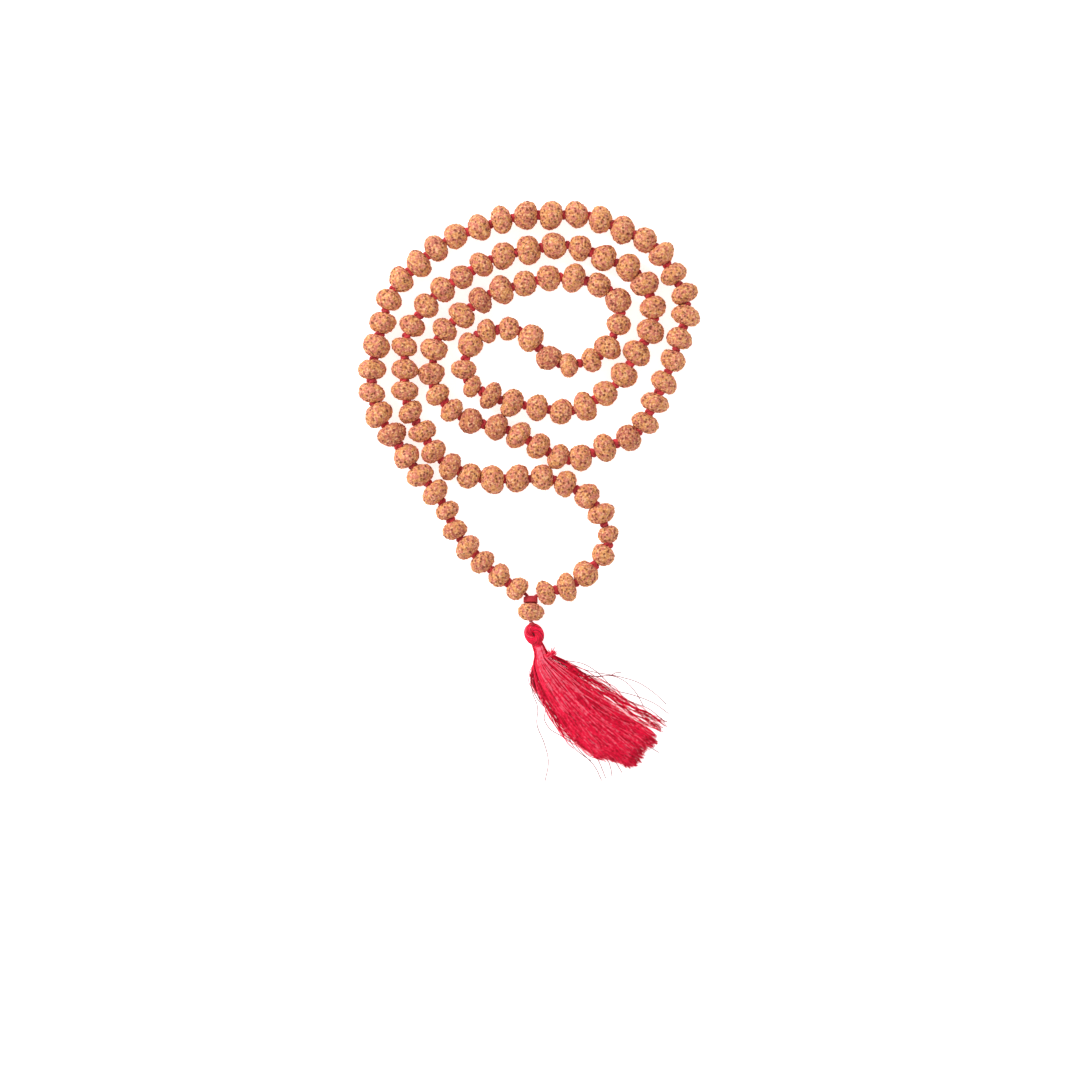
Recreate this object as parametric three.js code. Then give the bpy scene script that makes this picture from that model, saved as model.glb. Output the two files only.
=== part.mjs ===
// Seed-bead mala, laid flat: 110 drilled seeds and a guru bead on one knotted thread, with a silk tassel.
// Millimetres, +Z up, everything rests on z = 0. The strand lies in a double spiral that never crosses itself.
// The thread is straight through each run of one to three seeds and turns only at the knots between runs,
// so every run is a body of revolution about its own stretch of thread and can turn on it.
import * as THREE from 'three';

// Seeds. Across-flats radii: every bead is eight-sided and rests on one of its flats.
const SIDES = 8;
const SEED_RADIUS = 3.8;
const SEED_BAND = 1.1;            // half the width of the flat belt round a seed's middle
const POLE_RADIUS = 1.2;
const SEED_BORE = 0.8;
const KNOT_RADIUS = 1.45;
const KNOT_GAP = 1.0;             // room for the knot between two seeds of a run
const RUN_GAP = 0.6;              // shortest distance from a turning knot to the next seed's end
const CLEARANCE = 0.3;            // between pieces that touch on the real strand

// Thread
const THREAD_RADIUS = 0.45;
const GURU_CORD_RADIUS = 0.6;

// The strand's turning knots, from the gather knot clockwise round to the gather knot again, with the number
// of seeds between each knot and the next.
const GATHER = [0.5, -35.3];
const GATHER_REACH = 1.7;         // from the gather knot's middle to where each side of the strand starts
const TURNING_KNOTS = [
  [-12, -26.5, 2], [-22, -17, 2], [-27, -5, 2], [-36.5, 6, 3], [-49.5, 25.5, 2], [-49, 40, 3], [-43, 62, 3],
  [-26.5, 77, 3], [-5, 84.5, 3], [19, 85, 3], [40, 75.5, 3], [50.5, 57, 3], [44, 35.5, 3], [35, 16.5, 3],
  [12.5, 7, 3], [-6.5, 17.5, 2], [-22, 21, 2], [-31, 31, 2], [-29.5, 46.5, 3], [-12.5, 60.5, 3], [10, 66, 2],
  [26, 62, 1], [30, 54, 2], [23, 40, 2], [9, 37, 2], [-2.5, 49.5, 2], [-17, 48, 1], [-20.5, 40, 1],
  [-20.5, 32.5, 2], [-9, 26.5, 3], [14, 22.5, 2], [27.5, 31, 3], [40.5, 52, 2], [35, 67, 3], [12, 76, 3],
  [-12, 71.5, 3], [-30, 59.5, 2], [-39, 47, 3], [-39, 26, 3], [-28, 7.5, 2], [-15.5, 1.5, 3], [8, 2.5, 2],
  [21.5, -5.5, 2], [26, -19, 2], [15, -31, 2],
];
const FIRST_RUN_SEEDS = 2;

// The lower loop folds across three pairs of facing knots, so its thread is a piece of its own between them.
const FOLDS = 3;
const FOLD_GAP = 0.6;             // from a folding knot to the thread on either side of it
const LOOP_BANDS = ['lower', 'middle', 'upper'];

// Guru bead and the knots on either side of it
const GATHER_HALF = [1.45, 0.95, 1.3];
const GURU = { x: 0.6, y: -39.75, radius: 4.1, halfLength: 3.1, band: 1.2, pole: 1.6, bore: 1.0 };
const TASSEL_KNOT = { x: 0.9, y: -43.45, radius: 0.58 };

// Tassel: a round looped head, a bound neck and a skirt that fans out on the table
const HEAD = { x: 1.6, y: -47, halfWidth: 2.85, halfLength: 2.85 };
const NECK = { from: [2.75, -50.3], to: [4.15, -53.85], topRadius: 1.9, endRadius: 1.6, height: 2.7 };
const SKIRT_PIVOT = [4.35, -54.2];
const SKIRT_ANGLE = -45;          // degrees from +X
const SKIRT_START = 0.9;
const SKIRT_OUTLINE = [
  [0, -1], [0.8, -2.2], [2.5, -4.8], [6, -7.4], [14, -9.4], [24, -11], [33, -11.6], [41, -8], [42.5, 0],
  [40.5, 11.2], [30, 8], [20, 5.8], [10, 4.4], [4, 3.2], [0.8, 2.2], [0, 1],
];
const SKIRT_THICKNESS = 4.2;
const SKIRT_EDGE = 0.6;

// Where the middle of the laid-out mala is, in the numbers above: it becomes the origin.
const CENTRE = [0.08, -0.37];

const FULL_TURN = 2 * Math.PI;
const seedWood = () => new THREE.MeshStandardMaterial({ color: 0xc07a56, roughness: 0.75, metalness: 0 });
const redThread = () => new THREE.MeshStandardMaterial({ color: 0xb3202c, roughness: 0.85, metalness: 0 });
const redSilk = () => new THREE.MeshStandardMaterial({ color: 0xe3203f, roughness: 0.5, metalness: 0 });

const mala = new THREE.Group();

function add(parent, name, geometry, material) {
  const mesh = new THREE.Mesh(geometry, material);
  mesh.name = name;
  parent.add(mesh);
  return mesh;
}

// The corner radius of an eight-sided piece that measures this far to its flats.
function cornerRadius(acrossFlats) {
  return acrossFlats / Math.cos(Math.PI / SIDES);
}

// A solid of revolution about Y with one flat facing straight down, from [radius to flats, height] pairs.
function turned(profile) {
  const points = profile.map(([radius, y]) => new THREE.Vector2(cornerRadius(radius), y));
  return new THREE.LatheGeometry(points, SIDES, Math.PI / SIDES, FULL_TURN);
}

// Lays a piece made along Y on its side, its length along the given direction in the XY plane.
function layAlong(mesh, middle, height, direction) {
  mesh.position.set(middle.x, middle.y, height);
  mesh.rotation.z = direction.angle() - Math.PI / 2;
}

// The points of the strand where its thread turns, in order, starting and ending beside the gather knot.
function strandCorners() {
  const gather = new THREE.Vector2(...GATHER);
  const knots = TURNING_KNOTS.map(([x, y]) => new THREE.Vector2(x, y));
  const beside = (knot) => gather.clone().add(knot.clone().sub(gather).setLength(GATHER_REACH));
  return [beside(knots[0]), ...knots, beside(knots[knots.length - 1])];
}

// How far a run's end face stays from a turning knot, so that the end faces of two runs clear each other.
function endGap(before, knot, after) {
  const turn = Math.abs(after.clone().sub(knot).angle() - knot.clone().sub(before).angle());
  const half = Math.min(turn, FULL_TURN - turn) / 2;
  const needed = (CLEARANCE / 2 + cornerRadius(POLE_RADIUS) * Math.sin(half)) / Math.cos(half);
  return Math.max(RUN_GAP, needed);
}

// Seeds in a row on one straight stretch of thread, joined by their knots, with a bore right through.
function runProfile(length, seeds, startGap, finishGap) {
  const pitch = length / seeds;
  const outside = [];
  for (let i = 0; i < seeds; i += 1) {
    const middle = (i + 0.5) * pitch - length / 2;
    const low = i === 0 ? startGap - length / 2 : middle - (pitch - KNOT_GAP) / 2;
    const high = i === seeds - 1 ? length / 2 - finishGap : middle + (pitch - KNOT_GAP) / 2;
    outside.push([POLE_RADIUS, low], [SEED_RADIUS, middle - SEED_BAND]);
    outside.push([SEED_RADIUS, middle + SEED_BAND], [POLE_RADIUS, high]);
    if (i < seeds - 1) {
      outside.push([KNOT_RADIUS, middle + pitch / 2]);
    }
  }
  const top = outside[outside.length - 1][1];
  const bottom = outside[0][1];
  return [[SEED_BORE, bottom], ...outside, [SEED_BORE, top], [SEED_BORE, bottom]];
}

// A path of straight stretches, sampled exactly at its corners.
class CorneredPath extends THREE.Curve {
  constructor(corners) {
    super();
    this.corners = corners;
  }

  getPoint(t) {
    const place = t * (this.corners.length - 1);
    const i = Math.min(Math.floor(place), this.corners.length - 2);
    return this.corners[i].clone().lerp(this.corners[i + 1], place - i);
  }

  getPointAt(u) {
    return this.getPoint(u);
  }

  getTangentAt(u) {
    const i = Math.round(u * (this.corners.length - 1));
    const before = this.corners[Math.max(i - 1, 0)];
    const here = this.corners[i];
    const after = this.corners[Math.min(i + 1, this.corners.length - 1)];
    const incoming = here.clone().sub(before).normalize();
    const outgoing = after.clone().sub(here).normalize();
    return incoming.add(outgoing).normalize();
  }
}

// A thread through the given corners, shortened at both ends so that it clears what comes next.
function threadGeometry(corners, radius, height, startGap, finishGap) {
  const path = corners.map((corner) => new THREE.Vector3(corner.x, corner.y, height));
  const shorten = (end, next, gap) => end.add(next.clone().sub(end).setLength(gap));
  shorten(path[0], path[1], startGap);
  shorten(path[path.length - 1], path[path.length - 2], finishGap);
  const section = new THREE.Shape();
  section.absarc(0, 0, radius, 0, FULL_TURN);
  return new THREE.ExtrudeGeometry(section, {
    steps: path.length - 1,
    curveSegments: SIDES,
    extrudePath: new CorneredPath(path),
  });
}

const corners = strandCorners();
const seedCounts = [FIRST_RUN_SEEDS, ...TURNING_KNOTS.map(([, , seeds]) => seeds)];

let firstSeed = 1;
seedCounts.forEach((seeds, i) => {
  const from = corners[i];
  const to = corners[i + 1];
  const along = to.clone().sub(from);
  const startGap = i === 0 ? RUN_GAP : endGap(corners[i - 1], from, to);
  const finishGap = i === seedCounts.length - 1 ? RUN_GAP : endGap(from, to, corners[i + 2]);
  const lastSeed = firstSeed + seeds - 1;
  const label = (seed) => String(seed).padStart(3, '0');
  const name = seeds === 1 ? `seed_${label(firstSeed)}` : `seeds_${label(firstSeed)}_${label(lastSeed)}`;
  const run = add(mala, name, turned(runProfile(along.length(), seeds, startGap, finishGap)), seedWood());
  layAlong(run, from.clone().lerp(to, 0.5), SEED_RADIUS, along);
  firstSeed = lastSeed + 1;
});

const last = corners.length - 1;
const spiral = corners.slice(FOLDS, last - FOLDS + 1);
const spiralThread = threadGeometry(spiral, THREAD_RADIUS, SEED_RADIUS, FOLD_GAP, FOLD_GAP);
add(mala, 'thread_spiral', spiralThread, redThread());
LOOP_BANDS.forEach((band, i) => {
  const lowGap = i === 0 ? CLEARANCE / 2 : FOLD_GAP;
  const left = threadGeometry(corners.slice(i, i + 2), THREAD_RADIUS, SEED_RADIUS, lowGap, FOLD_GAP);
  const rightCorners = corners.slice(last - i - 1, last - i + 1);
  const right = threadGeometry(rightCorners, THREAD_RADIUS, SEED_RADIUS, FOLD_GAP, lowGap);
  add(mala, `thread_${band}_left`, left, redThread());
  add(mala, `thread_${band}_right`, right, redThread());
});

const gatherKnot = new THREE.SphereGeometry(1, SIDES, SIDES / 2);
gatherKnot.scale(...GATHER_HALF);
add(mala, 'gather_knot', gatherKnot, redThread()).position.set(...GATHER, SEED_RADIUS);

const guruProfile = [
  [GURU.bore, -GURU.halfLength], [GURU.pole, -GURU.halfLength], [GURU.radius, -GURU.band],
  [GURU.radius, GURU.band], [GURU.pole, GURU.halfLength], [GURU.bore, GURU.halfLength],
  [GURU.bore, -GURU.halfLength],
];
const guru = add(mala, 'guru_bead', turned(guruProfile), seedWood());
layAlong(guru, new THREE.Vector2(GURU.x, GURU.y), GURU.radius, new THREE.Vector2(0, -1));

const guruCordEnds = [
  new THREE.Vector2(GURU.x, GATHER[1] - GATHER_HALF[1]),
  new THREE.Vector2(GURU.x, TASSEL_KNOT.y + TASSEL_KNOT.radius),
];
const guruCord = threadGeometry(guruCordEnds, GURU_CORD_RADIUS, GURU.radius, CLEARANCE, CLEARANCE);
add(mala, 'guru_cord', guruCord, redThread());

const tasselKnot = new THREE.SphereGeometry(TASSEL_KNOT.radius, SIDES, SIDES / 2);
add(mala, 'tassel_knot', tasselKnot, redThread()).position.set(TASSEL_KNOT.x, TASSEL_KNOT.y, GURU.radius);

const HEAD_TILT = 0.35;           // where the ball's slope changes, as a share of its half-length
const headProfile = [
  [0, -HEAD.halfLength], [HEAD.halfWidth * 0.55, -HEAD.halfLength * 0.85],
  [HEAD.halfWidth, -HEAD.halfLength * HEAD_TILT], [HEAD.halfWidth, HEAD.halfLength * HEAD_TILT],
  [HEAD.halfWidth * 0.55, HEAD.halfLength * 0.85], [0, HEAD.halfLength],
];
const head = add(mala, 'tassel_head', turned(headProfile), redSilk());
layAlong(head, new THREE.Vector2(HEAD.x, HEAD.y), HEAD.halfWidth, new THREE.Vector2(0.2, -1));

const neckFrom = new THREE.Vector2(...NECK.from);
const neckTo = new THREE.Vector2(...NECK.to);
const neckLength = neckFrom.distanceTo(neckTo);
const neckProfile = [
  [0, -neckLength / 2], [NECK.topRadius, -neckLength / 2],
  [NECK.endRadius, neckLength / 2], [0, neckLength / 2],
];
const neck = add(mala, 'tassel_neck', turned(neckProfile), redSilk());
layAlong(neck, neckFrom.clone().lerp(neckTo, 0.5), NECK.height, neckTo.clone().sub(neckFrom));

const skirtOutline = new THREE.Shape();
skirtOutline.setFromPoints(SKIRT_OUTLINE.map(([reach, side]) => new THREE.Vector2(SKIRT_START + reach, side)));
const skirtGeometry = new THREE.ExtrudeGeometry(skirtOutline, {
  depth: SKIRT_THICKNESS - 2 * SKIRT_EDGE,
  bevelThickness: SKIRT_EDGE,
  bevelSize: SKIRT_EDGE,
  bevelOffset: -SKIRT_EDGE,
  bevelSegments: 1,
});
const skirt = add(mala, 'tassel_skirt', skirtGeometry, redSilk());
skirt.position.set(...SKIRT_PIVOT, SKIRT_EDGE);
skirt.rotation.z = THREE.MathUtils.degToRad(SKIRT_ANGLE);

mala.position.set(-CENTRE[0], -CENTRE[1], 0);

export default mala;
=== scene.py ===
"""A rudraksha mala laid in a spiral: seeds on a knotted red thread, a guru bead and a red silk tassel."""
import logging
import math
from dataclasses import dataclass, field
from enum import Enum
from typing import Callable, Sequence

import bpy
import numpy as np
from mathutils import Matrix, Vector


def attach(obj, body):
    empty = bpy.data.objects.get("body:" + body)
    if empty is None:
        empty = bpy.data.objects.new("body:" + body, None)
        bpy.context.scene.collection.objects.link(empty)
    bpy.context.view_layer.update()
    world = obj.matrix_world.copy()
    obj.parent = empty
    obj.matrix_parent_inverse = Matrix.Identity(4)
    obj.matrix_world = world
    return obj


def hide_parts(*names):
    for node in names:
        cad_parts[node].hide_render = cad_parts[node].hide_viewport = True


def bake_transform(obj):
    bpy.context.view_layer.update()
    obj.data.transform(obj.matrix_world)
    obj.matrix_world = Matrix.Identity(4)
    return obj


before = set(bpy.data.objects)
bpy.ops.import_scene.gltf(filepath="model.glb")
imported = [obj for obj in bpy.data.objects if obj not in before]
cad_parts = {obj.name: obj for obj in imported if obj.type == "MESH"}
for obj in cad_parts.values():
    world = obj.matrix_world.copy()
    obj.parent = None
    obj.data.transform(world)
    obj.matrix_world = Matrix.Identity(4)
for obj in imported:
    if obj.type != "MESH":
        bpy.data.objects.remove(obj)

log = logging.getLogger("mala")

MM = 0.001
TAU = 2 * math.pi
CENTRE = np.array([0.08, -0.37])      # middle of the laid-out mala in the route's numbers, mm
THREAD_HEIGHT = 3.8                   # mm above the table
GURU_HEIGHT = 4.1
TABLE_TOP = -0.6                      # under nearly every seed, mm
UP = np.array([0.0, 0.0, 1.0])

Colour = tuple[float, float, float]
Row = tuple[float, ...]
Array = np.ndarray
Chance = np.random.Generator
Material = bpy.types.Material


class Slot(Enum):
    """The record's finishes."""

    SEED = "seed"
    THREAD = "thread"
    SILK = "silk"


class Lay(Enum):
    """Which part of the fringe a group of silk strands belongs to."""

    UNDER = "under"
    OVER = "over"


# ---- shapes on grids


def unit(vectors: Array) -> Array:
    """Each vector divided by its own length."""
    return vectors / np.maximum(np.linalg.norm(vectors, axis=-1, keepdims=True), 1e-12)


def ease(x: Array, low: float, high: float) -> Array:
    """Three t squared minus two t cubed, where t goes from 0 at low to 1 at high."""
    t = np.clip((x - low) / (high - low), 0, 1)
    return t * t * (3 - 2 * t)


def curve_through(knots: Sequence[float], values: Sequence, at: Array) -> Array:
    """A smooth curve through the values: the cubic with slopes of neighbouring chords between each two knots.

    Args:
        knots: Increasing places of the values.
        values: One number or one point for each knot.
        at: Places where the curve is wanted.

    Returns:
        The curve at those places, with a last axis of coordinates where the values are points.
    """
    x = np.asarray(knots, float)
    y = np.asarray(values, float)
    flat = y.reshape(len(x), -1)
    slope = np.gradient(flat, x, axis=0)
    i = np.clip(np.searchsorted(x, at, side="right") - 1, 0, len(x) - 2)
    width = (x[i + 1] - x[i])[..., None]
    t = np.clip((at - x[i])[..., None] / width, 0, 1)
    out = ((1 + 2 * t) * (1 - t) ** 2 * flat[i] + t * (1 - t) ** 2 * width * slope[i]
           + t * t * (3 - 2 * t) * flat[i + 1] - t * t * (1 - t) * width * slope[i + 1])
    return out[..., 0] if y.ndim == 1 else out


@dataclass
class Skin:
    """Points, faces and per-point values of a mesh in millimetres."""

    points: Array
    quads: Array
    tris: Array = field(default_factory=lambda: np.zeros((0, 3), int))
    values: dict[str, Array] = field(default_factory=dict)

    def outward(self) -> "Skin":
        """Turns every face over where the volume that the faces enclose comes out negative."""
        faces = np.concatenate([self.quads[:, [0, 1, 2]], self.quads[:, [0, 2, 3]], self.tris])
        one, two, three = (self.points[faces[:, i]] for i in range(3))
        if np.einsum("ij,ij->", one, np.cross(two, three)) < 0:
            self.quads = self.quads[:, ::-1]
            self.tris = self.tris[:, ::-1]
        return self

    @staticmethod
    def joined(skins: Sequence["Skin"]) -> "Skin":
        """One skin holding all the given ones, each one's face numbers moved past the points before it."""
        starts = np.cumsum([0] + [len(s.points) for s in skins[:-1]])
        return Skin(
            np.concatenate([s.points for s in skins]),
            np.concatenate([s.quads + start for s, start in zip(skins, starts)]),
            np.concatenate([s.tris + start for s, start in zip(skins, starts)]),
            {n: np.concatenate([s.values[n] for s in skins]) for n in sorted(skins[0].values)},
        )

    def piece(self, name: str, finish: Material, slot: Slot) -> bpy.types.Object:
        """Makes the mesh object, in metres and in the frame's place.

        Args:
            name: The piece's name.
            finish: Its material.
            slot: Not used.

        Returns:
            The new object, smooth-shaded, riding on nothing yet.
        """
        place = self.points.copy()
        place[:, :2] -= CENTRE
        mesh = bpy.data.meshes.new(name)
        loops = np.concatenate([self.quads.ravel(), self.tris.ravel()]).astype(np.int32)
        sizes = np.concatenate([np.full(len(self.quads), 4), np.full(len(self.tris), 3)]).astype(np.int32)
        mesh.vertices.add(len(place))
        mesh.vertices.foreach_set("co", (place * MM).astype(np.float32).ravel())
        mesh.loops.add(len(loops))
        mesh.loops.foreach_set("vertex_index", loops)
        mesh.polygons.add(len(sizes))
        mesh.polygons.foreach_set("loop_start", (np.cumsum(sizes) - sizes).astype(np.int32))
        mesh.polygons.foreach_set("loop_total", sizes)
        mesh.update(calc_edges=True)
        mesh.polygons.foreach_set("use_smooth", np.ones(len(sizes), bool))
        for value, numbers in self.values.items():
            layer = mesh.attributes.new(value, "FLOAT", "POINT")
            layer.data.foreach_set("value", numbers.astype(np.float32))
        mesh.validate()
        mesh.materials.append(finish)
        made = bpy.data.objects.new(name, mesh)
        bpy.context.scene.collection.objects.link(made)
        return made


def grid_faces(rows: int, columns: int, ring: bool) -> Array:
    """Quads between each row and the next, whose columns wrap round, and whose rows do too on a ring."""
    r = np.arange(rows if ring else rows - 1)[:, None]
    c = np.arange(columns)[None, :]
    below = (r + 1) % rows
    beside = (c + 1) % columns
    corners = [r * columns + c, r * columns + beside, below * columns + beside, below * columns + c]
    return np.stack(corners, axis=-1).reshape(-1, 4)


def tubes(lines: Array, radius: Array | float, sides: int, up: Array = UP, ring: bool = False,
          **values: Array | float) -> Skin:
    """Round tubes along many lines at once.

    A point at angle a of a line's section is the line's point plus the radius times (cos a times the sideways
    direction plus sin a times the upward one), where sideways is the line's direction crossed with up.

    Args:
        lines: Points of the lines, (lines, steps, 3).
        radius: Radius at each step, broadcast to (lines, steps).
        sides: Corners of the section.
        up: The upward reference, broadcast to the lines' shape.
        ring: Whether each line closes on itself; otherwise its ends are closed with a middle point.
        **values: Per-step values of each line, broadcast to (lines, steps).

    Returns:
        All the tubes as one skin facing out.
    """
    count, steps, _ = lines.shape
    if ring:
        along = unit(np.roll(lines, -1, axis=1) - np.roll(lines, 1, axis=1))
    else:
        along = unit(np.gradient(lines, axis=1))
    side = unit(np.cross(along, np.broadcast_to(up, lines.shape)))
    above = np.cross(side, along)
    angle = np.arange(sides) * TAU / sides
    reach = np.broadcast_to(radius, (count, steps))[..., None, None]
    section = np.cos(angle)[:, None] * side[:, :, None] + np.sin(angle)[:, None] * above[:, :, None]
    points = (lines[:, :, None] + reach * section).reshape(-1, 3)
    per_line = steps * sides
    first = np.arange(count)[:, None, None] * per_line
    quads = (grid_faces(steps, sides, ring)[None] + first).reshape(-1, 4)
    spread = {n: np.repeat(np.broadcast_to(v, (count, steps)).ravel(), sides) for n, v in values.items()}
    if ring:
        return Skin(points, quads, values=spread).outward()
    c = np.arange(sides)
    beside = (c + 1) % sides
    middle = (count * per_line + np.arange(count))[:, None]
    near = first[:, :, 0]
    far = near + (steps - 1) * sides
    start = np.stack(np.broadcast_arrays(middle, near + beside, near + c), -1)
    end = np.stack(np.broadcast_arrays(middle + count, far + c, far + beside), -1)
    points = np.concatenate([points, lines[:, 0], lines[:, -1]])
    for n, v in values.items():
        ends = np.broadcast_to(v, (count, steps))
        spread[n] = np.concatenate([spread[n], ends[:, 0], ends[:, -1]])
    return Skin(points, quads, np.concatenate([start, end]).reshape(-1, 3), spread).outward()


# ---- finishes


def math_node(operation: str, swapped: bool = False) -> Callable[["Wire", "Wire | float"], "Wire"]:
    """A way to work on two shader numbers with one Math node.

    Args:
        operation: The node's operation.
        swapped: Whether the second number comes first.

    Returns:
        The method for Wire.
    """
    def method(self: "Wire", other: "Wire | float") -> "Wire":
        """The result of one Math node on two numbers."""
        first, second = (other, self) if swapped else (self, other)
        return self.bench.add("ShaderNodeMath", {"operation": operation}, {0: first, 1: second})

    return method


class Wire:
    """A shader number whose sums, differences and products add Math nodes."""

    def __init__(self, bench: "Bench", socket: bpy.types.NodeSocket) -> None:
        """Keeps the bench that adds nodes and the socket that the number comes from."""
        self.bench = bench
        self.socket = socket

    __add__, __radd__ = math_node("ADD"), math_node("ADD", True)
    __sub__, __rsub__ = math_node("SUBTRACT"), math_node("SUBTRACT", True)
    __mul__, __rmul__ = math_node("MULTIPLY"), math_node("MULTIPLY", True)

    def step(self, low: float, high: float) -> "Wire":
        """A smooth step from 0 at low to 1 at high, or the other way round where low is the larger."""
        settings = {"interpolation_type": "SMOOTHSTEP"}
        if low < high:
            return self.bench.add("ShaderNodeMapRange", settings, {0: self, 1: low, 2: high, 3: 0.0, 4: 1.0})
        return self.bench.add("ShaderNodeMapRange", settings, {0: self, 1: high, 2: low, 3: 1.0, 4: 0.0})


class Bench:
    """One material's node tree, and the ways that nodes are added to it."""

    def __init__(self, name: str) -> None:
        """Starts an empty tree with the given material name."""
        self.material = bpy.data.materials.new(name)
        self.material.use_nodes = True
        self.tree = self.material.node_tree
        self.tree.nodes.clear()

    def add(self, kind: str, settings: dict | None = None, inputs: dict | None = None,
            output: int | str = 0) -> Wire:
        """Adds a node.

        Args:
            kind: The node's type.
            settings: Its own settings, set first.
            inputs: Values or wires for its sockets, by name or number.
            output: The output that the returned wire carries.

        Returns:
            The wire from that output.
        """
        node = self.tree.nodes.new(kind)
        for name, value in (settings or {}).items():
            setattr(node, name, value)
        for socket, value in (inputs or {}).items():
            if isinstance(value, Wire):
                self.tree.links.new(value.socket, node.inputs[socket])
            else:
                node.inputs[socket].default_value = value
        return Wire(self, node.outputs[output])

    def place(self) -> Wire:
        """The point on the piece, in metres, as it lies at rest."""
        return self.add("ShaderNodeTexCoord", output="Object")

    def noise(self, where: Wire, per_metre: float, detail: float, roughness: float = 0.5) -> Wire:
        """Cloudy noise from 0 to 1, with so many features to the metre."""
        inputs = {"Vector": where, "Scale": per_metre, "Detail": detail, "Roughness": roughness}
        return self.add("ShaderNodeTexNoise", None, inputs)

    def cells(self, where: Wire, per_metre: float) -> Wire:
        """The distance to the nearest of many scattered points, in cells."""
        return self.add("ShaderNodeTexVoronoi", None, {"Vector": where, "Scale": per_metre}, "Distance")

    def value(self, name: str) -> Wire:
        """A per-point value of the mesh."""
        return self.add("ShaderNodeAttribute", {"attribute_name": name}, None, "Fac")

    def warped(self, where: Wire, per_metre: float, reach: float) -> Wire:
        """The place moved by coloured noise, so that what is drawn there wanders."""
        noise = {"Vector": where, "Scale": per_metre, "Detail": 2.0}
        cloud = self.add("ShaderNodeTexNoise", None, noise, "Color")
        settings = {"operation": "MULTIPLY_ADD"}
        return self.add("ShaderNodeVectorMath", settings, {0: cloud, 1: (reach, reach, reach), 2: where})

    def mix(self, share: "Wire | float", first: "Wire | Colour", second: "Wire | Colour") -> Wire:
        """The first colour where the share is 0, and the second where it is 1."""
        full = [c if isinstance(c, Wire) else (*c, 1.0) for c in (first, second)]
        inputs = {0: share, 6: full[0], 7: full[1]}
        return self.add("ShaderNodeMix", {"data_type": "RGBA"}, inputs, 2)

    def bump(self, height: Wire, depth: float, strength: float) -> Wire:
        """Surface directions tilted by a height that is so many metres deep."""
        return self.add("ShaderNodeBump", None, {"Strength": strength, "Distance": depth, "Height": height})

    def finish(self, colour: Wire, roughness: "Wire | float", normal: Wire,
               fixed: dict[str, float | tuple]) -> Material:
        """Ends the tree in one surface shader.

        Args:
            colour: Base colour.
            roughness: Roughness.
            normal: Tilted surface directions.
            fixed: Constants for other sockets.

        Returns:
            The material.
        """
        inputs = {"Base Color": colour, "Roughness": roughness, "Normal": normal, **fixed}
        surface = self.add("ShaderNodeBsdfPrincipled", None, inputs)
        end = self.tree.nodes.new("ShaderNodeOutputMaterial")
        self.tree.links.new(surface.socket, end.inputs["Surface"])
        return self.material


@dataclass(frozen=True)
class SeedFinish:
    """Dry rudraksha: tan and pinkish patches, pale specks, russet hollows and scattered dark pits."""

    ridge: Colour = (0.80, 0.36, 0.120)
    body: Colour = (0.72, 0.23, 0.155)
    russet: Colour = (0.45, 0.100, 0.070)
    hollow: Colour = (0.33, 0.060, 0.032)
    pit: Colour = (0.19, 0.034, 0.016)
    speck: Colour = (0.95, 0.56, 0.29)

    def make(self) -> Material:
        """Mixes the colours by relief, scattered pits and cloudy noise, and bumps the pits inward."""
        b = Bench("rudraksha")
        here = b.place()
        wander = b.warped(here, 700.0, 0.0007)
        relief = b.value("relief")
        tone = b.value("tone")
        pits = b.cells(wander, 840.0).step(0.42, 0.18)
        pores = b.cells(b.warped(here, 1300.0, 0.0004), 1600.0).step(0.40, 0.20)
        grain = b.noise(here, 1500.0, 2.0, 0.6)
        patches = b.noise(here, 760.0, 2.0)
        base = b.mix(patches.step(0.42, 0.58), self.ridge, self.body)
        base = b.mix((tone + patches * 0.5 - 0.25).step(0.35, 1.0), base, self.russet)
        base = b.mix(grain.step(0.47, 0.37) * 0.5, base, self.hollow)
        base = b.mix(grain.step(0.53, 0.63) * 0.85, base, self.speck)
        base = b.mix(relief.step(0.70, 0.25) * 0.7, base, self.hollow)
        base = b.mix(pores * 0.4, base, self.hollow)
        base = b.mix(pits * 0.85, base, self.pit)
        height = grain * 0.35 - pits * 0.8 - pores * 0.3
        rough = 0.62 + grain * 0.25
        return b.finish(base, rough, b.bump(height, 0.00022, 0.9), {"Specular IOR Level": 0.35})


@dataclass(frozen=True)
class ThreadFinish:
    """Twisted cotton thread, dark red with brighter raised fibres."""

    deep: Colour = (0.27, 0.006, 0.014)
    bright: Colour = (0.70, 0.032, 0.045)

    def make(self) -> Material:
        """Mixes the two reds by fine fibres, which are bumped too."""
        b = Bench("knotted_thread")
        here = b.place()
        fibre = b.noise(b.warped(here, 900.0, 0.0005), 4200.0, 2.0)
        cloud = b.noise(here, 260.0, 1.0)
        colour = b.mix((fibre * 0.6 + cloud * 0.6).step(0.35, 0.85), self.deep, self.bright)
        return b.finish(colour, 0.75, b.bump(fibre, 0.0001, 0.7), {"Sheen Weight": 0.15})


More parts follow.
